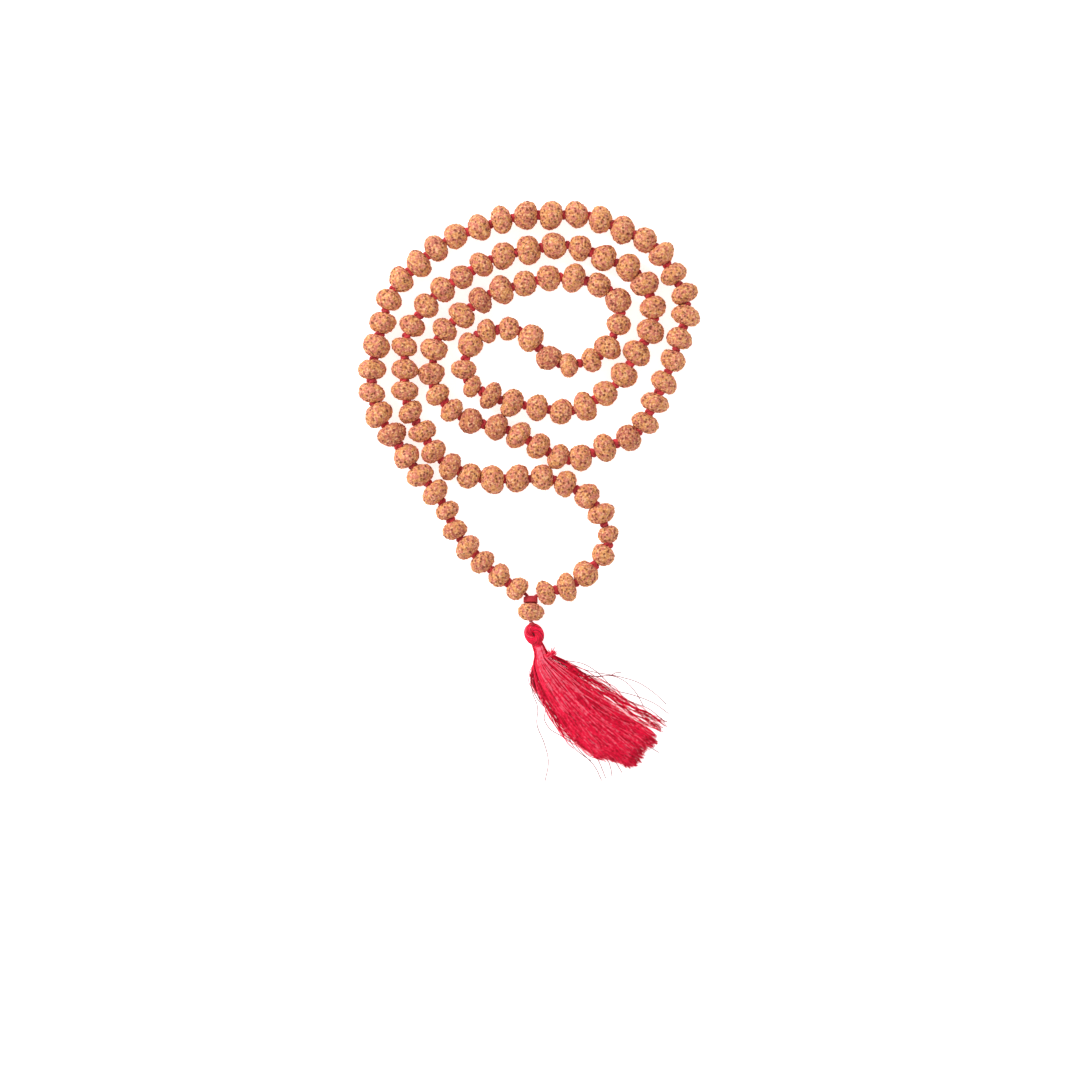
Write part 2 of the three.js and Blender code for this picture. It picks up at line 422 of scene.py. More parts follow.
@dataclass(frozen=True)
class SilkFinish:
    """Loose silk: each strand its own red, with a soft sheen; the darkest red partly paints shade, the palest
    partly paints highlights.
    """

    # dark: painted shade in the head's eye and under its windings, and the strays' darker red
    dark: Colour = (0.13, 0.002, 0.012)
    deep: Colour = (0.52, 0.001, 0.018)
    red: Colour = (0.96, 0.003, 0.058)
    # light: partly the strands' own pale red, partly painted highlight on the top and crossing strands
    light: Colour = (1.0, 0.17, 0.25)

    def make(self) -> Material:
        """Mixes four reds by the strand's own shade, a slow drift along it and its kinks; the kinks' pale and
        dark speckle is painted highlight and painted shade.
        """
        b = Bench("silk")
        here = b.place()
        shade = b.value("shade")
        drift = b.noise(here, 130.0, 1.0)
        kink_glint_and_shade = b.noise(here, 1100.0, 2.0, 0.6)
        # the kink noise spreads painted highlights and painted shade along the strands as speckle
        mixed = shade + drift * 0.5 + kink_glint_and_shade * 1.3 - 0.9
        colour = b.mix(shade.step(-0.8, -0.1), self.dark, self.deep)
        colour = b.mix(mixed.step(0.05, 0.45), colour, self.red)
        colour = b.mix(mixed.step(0.68, 1.1), colour, self.light)
        fibre = b.noise(here, 5200.0, 1.0)
        return b.finish(colour, 0.5 + fibre * 0.2, b.bump(fibre, 0.00005, 0.5), {"Specular IOR Level": 0.3})


@dataclass(frozen=True)
class TableFinish:
    """Smooth white paper on a lit table, which softens the shadows."""

    white: Colour = (0.93, 0.93, 0.93)
    fleck: Colour = (0.9, 0.9, 0.9)
    glow: float = 0.7

    def make(self) -> Material:
        """A matt white with faint flecks."""
        b = Bench("white_paper")
        fleck = b.noise(b.place(), 900.0, 2.0)
        colour = b.mix(fleck * 0.02, self.white, self.fleck)
        fixed = {"Specular IOR Level": 0.1, "Emission Color": (1, 1, 1, 1), "Emission Strength": self.glow}
        return b.finish(colour, 0.9, b.bump(fleck, 0.00002, 0.1), fixed)


# ---- the studio


@dataclass(frozen=True)
class Lamp:
    """One square soft light aimed at the mala."""

    name: str
    place: tuple[float, float, float]
    size: float
    watts: float


@dataclass
class Studio:
    """White table, soft lights and a camera straight above."""

    view_width: float = 340.2             # mm
    view_middle: tuple[float, float] = (3.47, -17.17)
    camera_height: float = 1.2            # m
    sensor: float = 36.0
    table_half: float = 4000.0            # mm
    lamps: tuple[Lamp, ...] = (
        Lamp("key", (-0.75, 0.5, 0.7), 0.4, 9.5),
        Lamp("fill", (0.8, -0.5, 0.8), 0.9, 0.4),
    )
    sky: float = 0.72

    def build(self) -> None:
        """Makes the table, the lights and the camera."""
        self._table()
        self._lights()
        self._camera()

    def _table(self) -> None:
        """A flat square sheet, wide enough to fill every view."""
        corner = np.array([[-1, -1, 0], [1, -1, 0], [1, 1, 0], [-1, 1, 0]], float) * self.table_half
        corner[:, 2] = TABLE_TOP
        mesh = bpy.data.meshes.new("table")
        mesh.from_pydata((corner * MM).tolist(), [], [(0, 1, 2, 3)])
        mesh.materials.append(TableFinish().make())
        table = bpy.data.objects.new("table", mesh)
        bpy.context.scene.collection.objects.link(table)

    def _lights(self) -> None:
        """An even pale sky and the soft lamps."""
        world = bpy.data.worlds.new("studio")
        world.use_nodes = True
        sky = world.node_tree.nodes["Background"].inputs
        sky["Color"].default_value = (1, 1, 1, 1)
        sky["Strength"].default_value = self.sky
        bpy.context.scene.world = world
        for lamp in self.lamps:
            light = bpy.data.lights.new(lamp.name, "AREA")
            light.shape = "SQUARE"
            light.size = lamp.size
            light.energy = lamp.watts
            made = bpy.data.objects.new(lamp.name, light)
            made.location = lamp.place
            made.rotation_euler = (-Vector(lamp.place)).to_track_quat("-Z", "Y").to_euler()
            bpy.context.scene.collection.objects.link(made)

    def _camera(self) -> None:
        """A long lens straight above the picture's middle, with +Y up."""
        camera = bpy.data.cameras.new("above")
        camera.sensor_width = self.sensor
        camera.lens = self.sensor * self.camera_height / (self.view_width * MM)
        made = bpy.data.objects.new("above", camera)
        middle = (np.array(self.view_middle) - CENTRE) * MM
        made.location = (middle[0], middle[1], self.camera_height)
        bpy.context.scene.collection.objects.link(made)
        scene = bpy.context.scene
        scene.camera = made
        scene.view_settings.view_transform = "Standard"
        scene.view_settings.look = "None"


# ---- the strand's route


@dataclass(frozen=True)
class Run:
    """One straight stretch of thread and the seeds on it."""

    first: int
    seeds: int
    start: Array
    end: Array
    bends: tuple[float, float]

    @property
    def node(self) -> str:
        """The name of both its solid and its body."""
        if self.seeds == 1:
            return f"seed_{self.first:03d}"
        return f"seeds_{self.first:03d}_{self.first + self.seeds - 1:03d}"

    @property
    def pitch(self) -> float:
        """Distance between its knots."""
        return float(np.linalg.norm(self.end - self.start)) / self.seeds

    @property
    def along(self) -> Array:
        """Its direction in the plane of the table."""
        return unit(self.end - self.start)

    def at(self, share: float) -> Array:
        """The thread's point at that share of its length, at the thread's height."""
        flat = self.start + (self.end - self.start) * share
        return np.array([flat[0], flat[1], THREAD_HEIGHT])


GATHER = np.array([0.5, -35.3])
GATHER_REACH = 1.7
FIRST_RUN_SEEDS = 2
# Each turning knot's place, and the number of seeds from it to the next.
TURNING_KNOTS = (
    (-12, -26.5, 2), (-22, -17, 2), (-27, -5, 2), (-36.5, 6, 3), (-49.5, 25.5, 2), (-49, 40, 3), (-43, 62, 3),
    (-26.5, 77, 3), (-5, 84.5, 3), (19, 85, 3), (40, 75.5, 3), (50.5, 57, 3), (44, 35.5, 3), (35, 16.5, 3),
    (12.5, 7, 3), (-6.5, 17.5, 2), (-22, 21, 2), (-31, 31, 2), (-29.5, 46.5, 3), (-12.5, 60.5, 3),
    (10, 66, 2), (26, 62, 1), (30, 54, 2), (23, 40, 2), (9, 37, 2), (-2.5, 49.5, 2), (-17, 48, 1),
    (-20.5, 40, 1),
    (-20.5, 32.5, 2), (-9, 26.5, 3), (14, 22.5, 2), (27.5, 31, 3), (40.5, 52, 2), (35, 67, 3), (12, 76, 3),
    (-12, 71.5, 3), (-30, 59.5, 2), (-39, 47, 3), (-39, 26, 3), (-28, 7.5, 2), (-15.5, 1.5, 3), (8, 2.5, 2),
    (21.5, -5.5, 2), (26, -19, 2), (15, -31, 2),
)
BAND_BODIES = ("loop_end", "band_middle", "band_upper")
BAND_NODES = ("lower", "middle", "upper")
FOLD_ANGLE = math.radians(30)         # how far a fold's two seeds have to clear each other
GATHER_TURN = 0.9                     # the strand's turn into the gather knot, radians


def corners() -> Array:
    """The turning knots in order, between the two places beside the gather knot."""
    knots = np.array([k[:2] for k in TURNING_KNOTS], float)
    first, last = (GATHER + GATHER_REACH * unit(k - GATHER) for k in (knots[0], knots[-1]))
    return np.vstack([first, knots, last])


def runs() -> list[Run]:
    """The strand's runs in order, each with how sharply the strand turns at its two ends."""
    points = corners()
    counts = [FIRST_RUN_SEEDS] + [k[2] for k in TURNING_KNOTS]
    headings = unit(np.diff(points, axis=0))
    turns = np.arccos(np.clip((headings[:-1] * headings[1:]).sum(1), -1, 1))
    folds = len(BAND_BODIES)
    turns[:folds] = np.hypot(turns[:folds], FOLD_ANGLE)
    turns[-folds:] = np.hypot(turns[-folds:], FOLD_ANGLE)
    turns = [GATHER_TURN, *turns.tolist(), GATHER_TURN]
    firsts = np.cumsum([1] + counts[:-1]).tolist()
    bends = zip(turns[:-1], turns[1:])
    return [Run(*parts) for parts in zip(firsts, counts, points[:-1], points[1:], bends)]


# ---- seeds


def beside(along: Array) -> Array:
    """The level direction to the left of one in the plane, as a point of space."""
    return np.array([-along[1], along[0], 0.0])


@dataclass(frozen=True)
class Seed:
    """One rudraksha: an oblate round with five grooves from pole to pole, knobs, hollows and a bore."""

    number: int
    middle: Array
    along: Array
    radius: float
    half: float
    tone: float
    bore: float = 0.55
    flatness: float = 0.91
    rows: int = 42
    bore_rows: int = 3
    columns: int = 72
    grooves: int = 5
    knobs: int = 190
    hollows: int = 120
    swells: int = 9

    def skin(self) -> Skin:
        """The seed's surface.

        Outside, height is the half-length times the cosine of the angle from the pole, and distance from the
        thread is the radius times a power of its sine, both moved along the surface's own direction by the
        relief. Two waves round the thread, a taper, a lean and a dimple at each pole make it uneven. The bore
        joins the two pole rims, so the surface closes on itself like a ring.
        """
        chance = np.random.default_rng(1000 + self.number)
        rim = math.asin(self.bore / self.radius)
        angle = np.linspace(rim, math.pi - rim, self.rows)[:, None]
        round_ = np.arange(self.columns)[None, :] * TAU / self.columns
        sine = np.sin(angle)
        lobed = (0.985 + 0.02 * np.cos(2 * round_ + chance.uniform(0, TAU))
                 + 0.028 * np.cos(self.grooves * round_ + chance.uniform(0, TAU)))
        taper = 1 + chance.uniform(-0.15, 0.15) * np.cos(angle)
        lean = chance.uniform(-0.10, 0.10) * np.cos(round_ - chance.uniform(-0.7, 0.7))
        out = self.radius * sine ** chance.uniform(0.84, 1.06) * lobed * taper
        dimple = 0.09 * np.exp(-(out / 1.25) ** 2)
        height = self.half * np.cos(angle) * (1 - dimple) + lean * out * ease(sine, 0.2, 0.6)
        relief, lift = self._relief(angle, round_, out, height, chance)
        slope_out, slope_up = sine / self.radius, np.cos(angle) / self.half
        size = np.sqrt(slope_out ** 2 + slope_up ** 2)
        out = out + lift * slope_out / size
        height = height + lift * slope_up / size
        inside = np.linspace(height[0].mean(), height[-1].mean(), self.bore_rows + 2)[::-1][1:-1, None]
        out = np.vstack([out, np.full((self.bore_rows, self.columns), self.bore * 0.9)])
        height = np.vstack([height, inside + 0 * round_])
        relief = np.vstack([relief, np.zeros((self.bore_rows, self.columns))])
        points = (self.middle + height[..., None] * np.array([*self.along, 0.0])
                  + (out * np.cos(round_))[..., None] * beside(self.along)
                  + (self.flatness * out * np.sin(round_))[..., None] * UP)
        values = {"relief": relief.ravel(), "tone": np.full(relief.size, self.tone)}
        return Skin(points.reshape(-1, 3), grid_faces(len(out), self.columns, True), values=values).outward()

    def _relief(self, angle: Array, round_: Array, out: Array, height: Array,
                chance: Chance) -> tuple[Array, Array]:
        """How far the surface stands out.

        The grooves are bells of the distance from as many meridians. Knobs rise with the difference between
        the distances to the nearest and the next of many scattered points, hollows are bells round others,
        and a few broad bells make the seed uneven.

        Args:
            angle: Angle from the pole.
            round_: Angle round the thread.
            out: Distance from the thread.
            height: Distance along the thread.
            chance: The seed's own random numbers.

        Returns:
            The relief from 0 in a groove to 1 on a knob, and the lift in millimetres.
        """
        start = chance.uniform(0, TAU)
        uneven = chance.uniform(-0.12, 0.12, self.grooves)
        lines = start + (np.arange(self.grooves) + uneven) * TAU / self.grooves
        sway = 0.10 * np.sin(2 * angle + chance.uniform(0, TAU))
        gap = np.abs((round_[..., None] + sway[..., None] - lines + math.pi) % TAU - math.pi).min(-1)
        groove = np.exp(-(gap * out / 0.34) ** 2)
        here = np.stack([out * np.cos(round_), out * np.sin(round_), height], -1).reshape(-1, 1, 3)
        reach = np.array([self.radius, self.radius, self.half])
        spots = unit(chance.normal(size=(self.knobs + self.hollows, 3))) * reach
        near = np.partition(np.linalg.norm(here - spots[:self.knobs], axis=-1), 1, axis=1)
        knob = ease(near[:, 1] - near[:, 0], 0.0, 0.5).reshape(out.shape)
        dip = np.linalg.norm(here - spots[self.knobs:], axis=-1).min(1).reshape(out.shape)
        hollow = np.exp(-(dip / 0.32) ** 2)
        centres = unit(chance.normal(size=(self.swells, 3))) * reach
        swell = np.exp(-(np.linalg.norm(here - centres, axis=-1) / 1.8) ** 2)
        bulk = (swell @ chance.uniform(-0.36, 0.32, self.swells)).reshape(out.shape)
        shape = 0.66 + 0.34 * knob - 0.2 * groove - 0.5 * hollow
        fade = ease(np.sin(angle), 0.12, 0.45)
        lift = fade * (bulk + 0.26 * knob - 0.14 - 0.12 * groove - 0.22 * hollow)
        return np.clip(shape, 0, 1), lift


@dataclass
class SeedStrand:
    """The seeds, sized so that each clears the seeds beside it and round the bends."""

    runs: list[Run]
    mean_radius: float = 4.44
    length_share: float = 0.465           # half a seed's mean length, as a share of the pitch
    overlap: float = 0.06                 # how far a seed may reach past halfway to another turn's seed
    slack: float = 0.04                   # how far it may reach past halfway along the thread
    squeeze: float = 0.2                  # the same on a bend
    dark: tuple[int, ...] = (10, 38, 45, 52, 63)
    dark_tone: float = 0.66

    def build(self, finish: Material) -> None:
        """Makes each seed as its own piece, riding on its run."""
        numbers = np.random.default_rng(7)
        places = np.concatenate([[r.at((i + 0.5) / r.seeds) for i in range(r.seeds)] for r in self.runs])
        apart = np.linalg.norm(places[:, None] - places[None], axis=-1)
        order = np.arange(len(places))
        apart[np.abs(order[:, None] - order[None]) < 2] = np.inf
        room = apart.min(1) / 2 + self.overlap
        for run in self.runs:
            for k in range(run.seeds):
                number = run.first + k
                bend = max(run.bends[0] if k == 0 else 0.0, run.bends[1] if k == run.seeds - 1 else 0.0)
                radius = min(self.mean_radius + numbers.uniform(-0.45, 0.3), room[number - 1])
                half = self.length_share * run.pitch + numbers.uniform(-0.25, 0.22)
                half = min(half, run.pitch / 2 + self.slack)
                reach = math.hypot(half * math.cos(bend / 2), radius * math.sin(bend / 2))
                shrink = min(1.0, (run.pitch / 2 * math.cos(bend / 2) + self.squeeze) / reach)
                tone = self.dark_tone if number in self.dark else float(numbers.beta(1.6, 2.2)) * 0.75
                seed = Seed(number, places[number - 1], run.along, radius * shrink, half * shrink, tone)
                piece = seed.skin().piece(f"rudraksha_{number:03d}", finish, Slot.SEED)
                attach(piece, run.node)
                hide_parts(run.node)
            log.info("%s: %d seeds", run.node, run.seeds)


# ---- thread and knots


def knot(middle: Array, along: Array, size: float, turn: float, steps: int = 36) -> Skin:
    """An overhand knot drawn tight round the thread.

    The line is a three-lobed knot: sin t plus twice sin 2t one way, cos t less twice cos 2t the other, and
    sin 3t along the thread. The tube round it is a third of the knot's size in radius.

    Args:
        middle: The knot's middle.
        along: The thread's direction in the plane of the table.
        size: The knot's width.
        turn: Its angle about the thread.
        steps: Points of the line.

    Returns:
        The closed tube.
    """
    t = np.arange(steps) * TAU / steps
    a = np.array([*along, 0.0])
    first = beside(along) * math.cos(turn) + UP * math.sin(turn)
    second = UP * math.cos(turn) - beside(along) * math.sin(turn)
    x = (np.sin(t) + 2 * np.sin(2 * t)) * size * 0.215
    y = (np.cos(t) - 2 * np.cos(2 * t)) * size * 0.215
    z = -np.sin(3 * t) * size * 0.24
    line = middle + x[:, None] * first + y[:, None] * second + z[:, None] * a
    out = unit(x[:, None] * first + y[:, None] * second)
    return tubes(line[None], size * 0.34, 7, (out + 0.5 * a)[None], True)


@dataclass
class Thread:
    """The thread through the seeds, its knots, and the short stretches in the folding loop."""

    runs: list[Run]
    radius: float = 0.5
    corner: float = 2.2                   # from a turning knot to where its rounded corner starts
    inward: float = 0.3                   # how far a bend draws its knot in, as a share of the pitch

    def build(self, finish: Material) -> None:
        """Makes the spiral's cord, the loop's threads and every knot."""
        self._spiral(finish)
        self._bands(finish)
        self._run_knots(finish)
        self._turning_knots(finish)

    def _rounded(self, points: Array) -> Array:
        """The route with each corner cut by a parabola: (1 - t) squared, 2t (1 - t) and t squared parts."""
        keep = [points[:1]]
        t = np.linspace(0, 1, 7)[:, None]
        for here, back, on in zip(points[1:-1], points[:-2], points[2:]):
            start = here + unit(back - here) * self.corner
            end = here + unit(on - here) * self.corner
            keep.append((1 - t) ** 2 * start + 2 * t * (1 - t) * here + t * t * end)
        keep.append(points[-1:])
        return np.concatenate(keep)

    def _spiral(self, finish: Material) -> None:
        """The cord from fold to fold round the whole spiral, on one open spline."""
        folds = len(BAND_BODIES)
        flat = self._rounded(corners()[folds:-folds])
        points = np.column_stack([flat - CENTRE, np.full(len(flat), THREAD_HEIGHT)]) * MM
        curve = bpy.data.curves.new("spiral_cord", "CURVE")
        curve.dimensions = "3D"
        curve.bevel_depth = self.radius * MM
        curve.bevel_resolution = 2
        curve.use_fill_caps = True
        spline = curve.splines.new("POLY")
        spline.points.add(len(points) - 1)
        spline.points.foreach_set("co", np.column_stack([points, np.ones(len(points))]).ravel())
        curve.materials.append(finish)
        cord = bpy.data.objects.new("spiral_cord", curve)
        bpy.context.scene.collection.objects.link(cord)
        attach(cord, "strand")
        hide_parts("thread_spiral")

    def _bands(self, finish: Material) -> None:
        """The straight stretches of thread in each of the loop's three bands."""
        for i, (body, name) in enumerate(zip(BAND_BODIES, BAND_NODES)):
            for side, run in (("left", self.runs[i]), ("right", self.runs[-1 - i])):
                skin = tubes(np.linspace(run.at(0), run.at(1), 9)[None], self.radius, 10)
                piece = skin.piece(f"loop_thread_{name}_{side}", finish, Slot.THREAD)
                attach(piece, body)
                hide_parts(f"thread_{name}_{side}")
        log.info("loop threads: 6")

    def _run_knots(self, finish: Material) -> None:
        """The knots between two seeds of one run, which turn with it."""
        numbers = np.random.default_rng(21)
        for run in self.runs:
            if run.seeds > 1:
                made = [knot(run.at(k / run.seeds), run.along, numbers.uniform(1.5, 1.95),
                             numbers.uniform(0, TAU)) for k in range(1, run.seeds)]
                piece = Skin.joined(made).piece(f"knots_{run.first:03d}", finish, Slot.THREAD)
                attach(piece, run.node)
        log.info("knots inside the runs")

    def _turning_knots(self, finish: Material) -> None:
        """The knots where the strand turns, each on the body above it in the fold."""
        numbers = np.random.default_rng(22)
        groups: dict[str, list[Skin]] = {}
        above = (*BAND_BODIES[1:], "strand")
        for i, (before, after) in enumerate(zip(self.runs[:-1], self.runs[1:])):
            body = above[min(i, len(self.runs) - 2 - i, len(above) - 1)]
            heading = unit(before.along + after.along)
            bend = math.acos(min(1.0, float(before.along @ after.along)))
            inward = self.inward * (before.pitch + after.pitch) / 2 * math.sin(bend / 2)
            inward = inward * unit(after.along - before.along)
            middle = after.at(0) + np.array([*inward, 0.0])
            made = knot(middle, heading, numbers.uniform(1.45, 1.8), numbers.uniform(0, TAU))
            groups.setdefault(body, []).append(made)
        for body, skins in groups.items():
            piece = Skin.joined(skins).piece(f"turning_knots_{body}", finish, Slot.THREAD)
            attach(piece, body)
            log.info("turning_knots_%s: %d", body, len(skins))


# ---- guru bead and gather knot


@dataclass
class Guru:
    """The guru bead, the gather knot above it and the knot below it."""

    x: float = 0.6
    y: float = -39.75
    radius: float = 4.3
    half: float = 3.0
    gather: tuple[float, float] = (0.5, -36.0)
    gather_half: tuple[float, float, float] = (2.3, 1.15, 1.4)
    hitch: tuple[float, float] = (0.9, -43.45)
    leads: tuple[Array, ...] = ()    # where the strand's two ends reach the gather knot

    def build(self, seed_finish: Material, thread_finish: Material) -> None:
        """Makes the bead, its doubled thread and both knots."""
        middle = np.array([self.x, self.y, GURU_HEIGHT])
        bead = Seed(111, middle, np.array([0.0, -1.0]), self.radius, self.half, 0.2, bore=0.75)
        piece = bead.skin().piece("guru_rudraksha", seed_finish, Slot.SEED)
        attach(piece, "guru")
        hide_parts("guru_bead")
        self._doubled(thread_finish)
        self._gather(thread_finish)
        self._hitch(thread_finish)
        log.info("guru bead and its knots")

    def _doubled(self, finish: Material) -> None:
        """Two threads wound round each other: a circle about the bore's line, half a turn apart."""
        t = np.linspace(0, 1, 25)
        y = -35.6 - t * 7.2
        lines = []
        for turn in (t * TAU * 2.5, t * TAU * 2.5 + math.pi):
            lines.append([self.x + 0.3 * np.cos(turn), y, GURU_HEIGHT + 0.3 * np.sin(turn)])
        lines = np.moveaxis(np.array(lines), 1, 2)
        piece = tubes(lines, 0.32, 8).piece("guru_threads", finish, Slot.THREAD)
        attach(piece, "loop_end")
        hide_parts("guru_cord")

    def _gather(self, finish: Material) -> None:
        """Four flat turns of thread wound across the strand, with both strand ends led into them."""
        wide, tall, deep = self.gather_half
        t = np.linspace(0, 1, 90)
        turn = t * TAU * 4
        x = self.gather[0] + (wide - 0.45) * np.cos(turn)
        z = THREAD_HEIGHT + (deep - 0.4) * np.sin(turn)
        y = self.gather[1] - (t - 0.5) * 2 * (tall - 0.4) + 0.3 * np.sin(turn)
        wound = tubes(np.column_stack([x, y, z])[None], 0.42, 8, np.array([0, 1.0, 0]))
        into = np.array([*self.gather, THREAD_HEIGHT])
        leads = [np.linspace(end + unit(end - into) * 0.6, into, 6) for end in self.leads]
        led = tubes(np.stack(leads), 0.5, 8)
        core = knot(into, np.array([0.0, 1.0]), 1.5, 0.4)
        piece = Skin.joined([wound, led, core]).piece("gather_windings", finish, Slot.THREAD)
        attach(piece, "loop_end")
        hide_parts("gather_knot")

    def _hitch(self, finish: Material) -> None:
        """The small knot that the tassel's head hangs from."""
        middle = np.array([*self.hitch, GURU_HEIGHT])
        piece = knot(middle, np.array([0.2, -1.0]), 0.95, 1.0).piece("tassel_hitch_knot", finish, Slot.THREAD)
        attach(piece, "tassel_hitch")
        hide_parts("tassel_knot")


# ---- tassel


STRAYS = (
    ((6, -54.5), (12.8, -55.3), (17, -56.1), (20.4, -58), (23.8, -61), (27.1, -64.4), (31.4, -65.6),
     (35.6, -66.9), (39.4, -68.6), (44, -71.9)),
    ((8, -55.5), (14, -57.6), (19.5, -60.1), (23, -60.0), (25.9, -59.7), (28, -58.8), (29.2, -59.1)),
    ((15, -58), (21, -60.2), (25.9, -59.9), (30.9, -62.2), (33.9, -65.6), (36, -69.4)),
    ((9, -54.8), (19, -58.4), (28.8, -60.3), (34.3, -62), (39, -65), (43.2, -68.9)),
    ((10, -56), (18, -60.5), (26, -65.0), (32, -68.0), (38, -70.5), (42.8, -74.6)),
    ((3, -56.5), (0.9, -60.5), (1.0, -64.8), (2.7, -69.7), (2.5, -75.3), (4.8, -81.2), (6.1, -86.7),
     (5, -93.5)),
    ((3.5, -57), (1.8, -62.5), (3.4, -67.5), (5.2, -70.3), (4.8, -73.6), (6.5, -76.6), (9.8, -78.7),
     (12.8, -80.4), (14.5, -82.9), (17, -85), (19.5, -86.7)),
    ((3.2, -56), (0.6, -59.5), (0.9, -63.5), (3.6, -68.5), (8.4, -72.5), (11.5, -77), (13.5, -81.5)),
    ((4, -57), (1.4, -61), (2.8, -66), (7, -71), (12, -76.5), (15.2, -82.5), (21, -89), (22.9, -93)),
    ((12, -70), (17, -79), (21.7, -86.3), (24.2, -92.3)),
    ((16, -72), (22, -82), (25.6, -88.5), (26.2, -91.8)),
    ((18, -72), (24, -81), (27.6, -87.6), (29.4, -90.6)),
    ((24, -72), (33, -79), (38.4, -82.6), (41.0, -84.2)),
)
SHOULDER = ((3.9, -52.6), (2.6, -55.4), (1.5, -58.4), (1.5, -61.6), (3.4, -65.6), (6.6, -70.6), (10.4, -75.4))


def lifted(flat: Array, height: Array) -> Array:
    """Points in the plane, each raised to its height."""
    return np.concatenate([flat, height[..., None]], -1)


def phase(chance: Chance, count: int) -> Array:
    """Where in its wave each of so many strands starts."""
    return chance.uniform(0, TAU, (count, 1))


